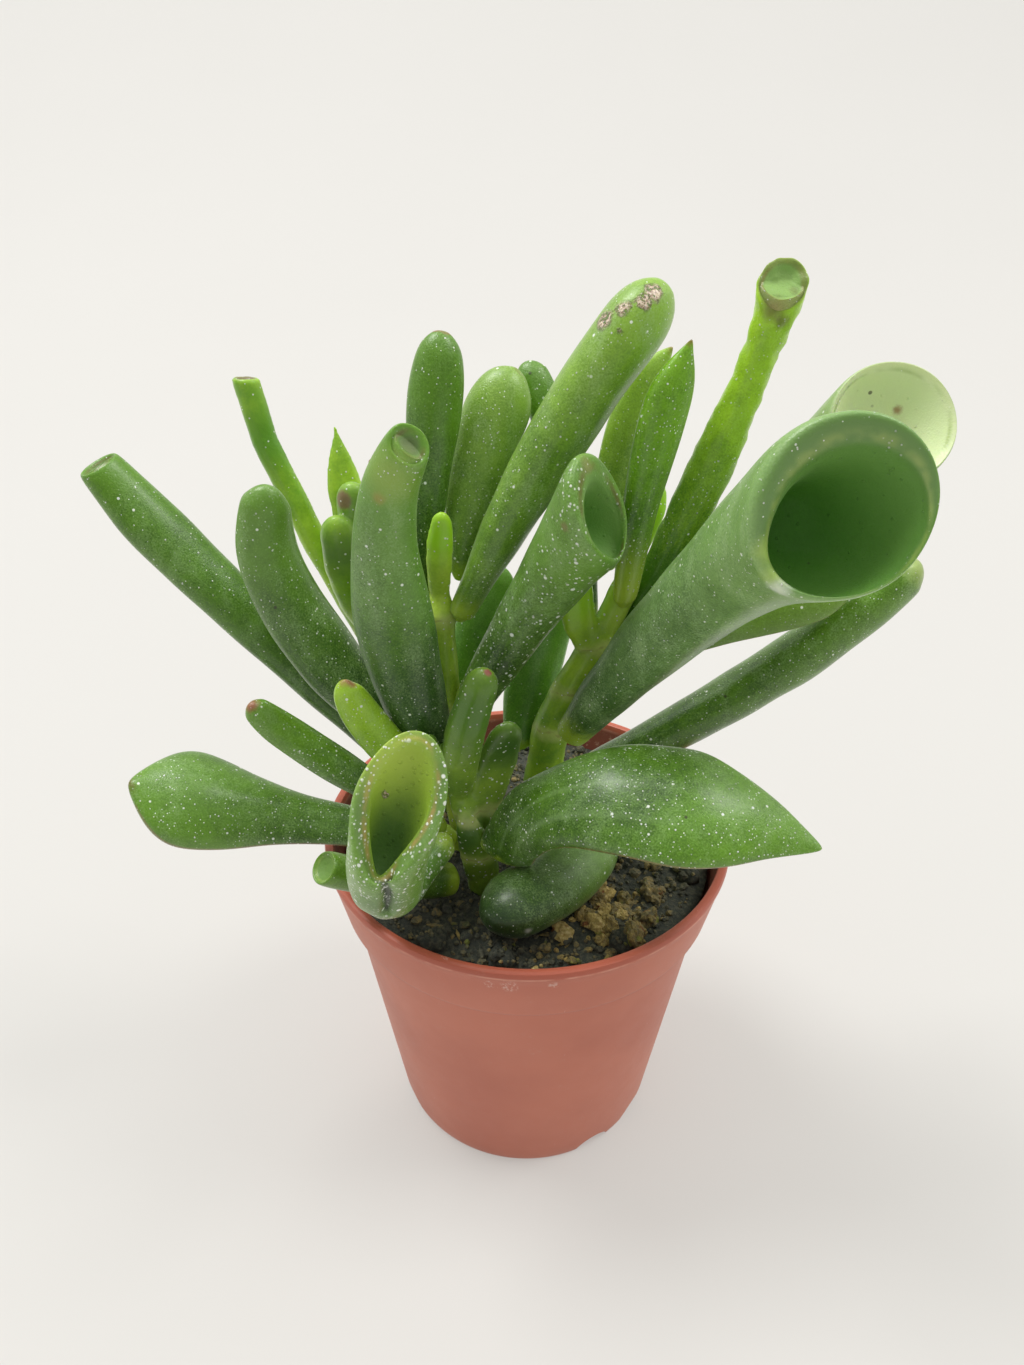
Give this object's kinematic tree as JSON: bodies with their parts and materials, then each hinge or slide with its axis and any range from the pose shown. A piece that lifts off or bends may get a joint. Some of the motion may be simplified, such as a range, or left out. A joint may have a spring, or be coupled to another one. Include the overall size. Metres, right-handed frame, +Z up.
{
  "type": "potted gollum jade",
  "caption": "Small succulent in a nursery pot: thick tube-shaped leaves, some ending in open cups, on short fleshy stems in dark soil.",
  "frame": {"origin": "middle of the flat underside of the pot, on the surface that it stands on", "axes": "+Z is up along the pot's axis; -Y is the front of the plant, the side the picture was taken from; +X is to the right as seen from the front"},
  "size_m": [0.1113, 0.0648, 0.1314],
  "materials": {
    "leaf": "waxy green leaf flesh with pale salt dots and a light grey bloom",
    "stem": "smooth yellow-green young stem, corky and brownish at the joints",
    "pot_plastic": "thin moulded terracotta-pink plastic with a soft sheen",
    "potting_soil": "rough dark potting soil with coarse tan and olive crumbs"
  },
  "bodies": {
    "root": {"stem_left": "stem", "stem_right": "stem", "stem_front": "stem", "stem_back": "stem", "leaf_far_left": "leaf", "leaf_left": "leaf", "leaf_spoon_left": "leaf", "leaf_small_left": "leaf", "leaf_pink_tip": "leaf", "leaf_front_boat": "leaf", "leaf_stub_left": "leaf", "leaf_spoon_right": "leaf", "leaf_drooping": "leaf", "leaf_front_upright": "leaf", "leaf_middle_trumpet": "leaf", "leaf_long_scarred": "leaf", "leaf_back_middle": "leaf", "leaf_back_upright": "leaf", "leaf_back_small": "leaf", "leaf_pair_back": "leaf", "leaf_pair_front": "leaf", "leaf_big_trumpet": "leaf", "leaf_tall_stalk": "leaf", "leaf_second_trumpet": "leaf", "leaf_right_back": "leaf", "leaf_red_edge": "leaf", "leaf_shaded_left": "leaf", "leaf_shaded_right": "leaf", "pot": "pot_plastic", "soil": "potting_soil"}
  },
  "joints": []
}
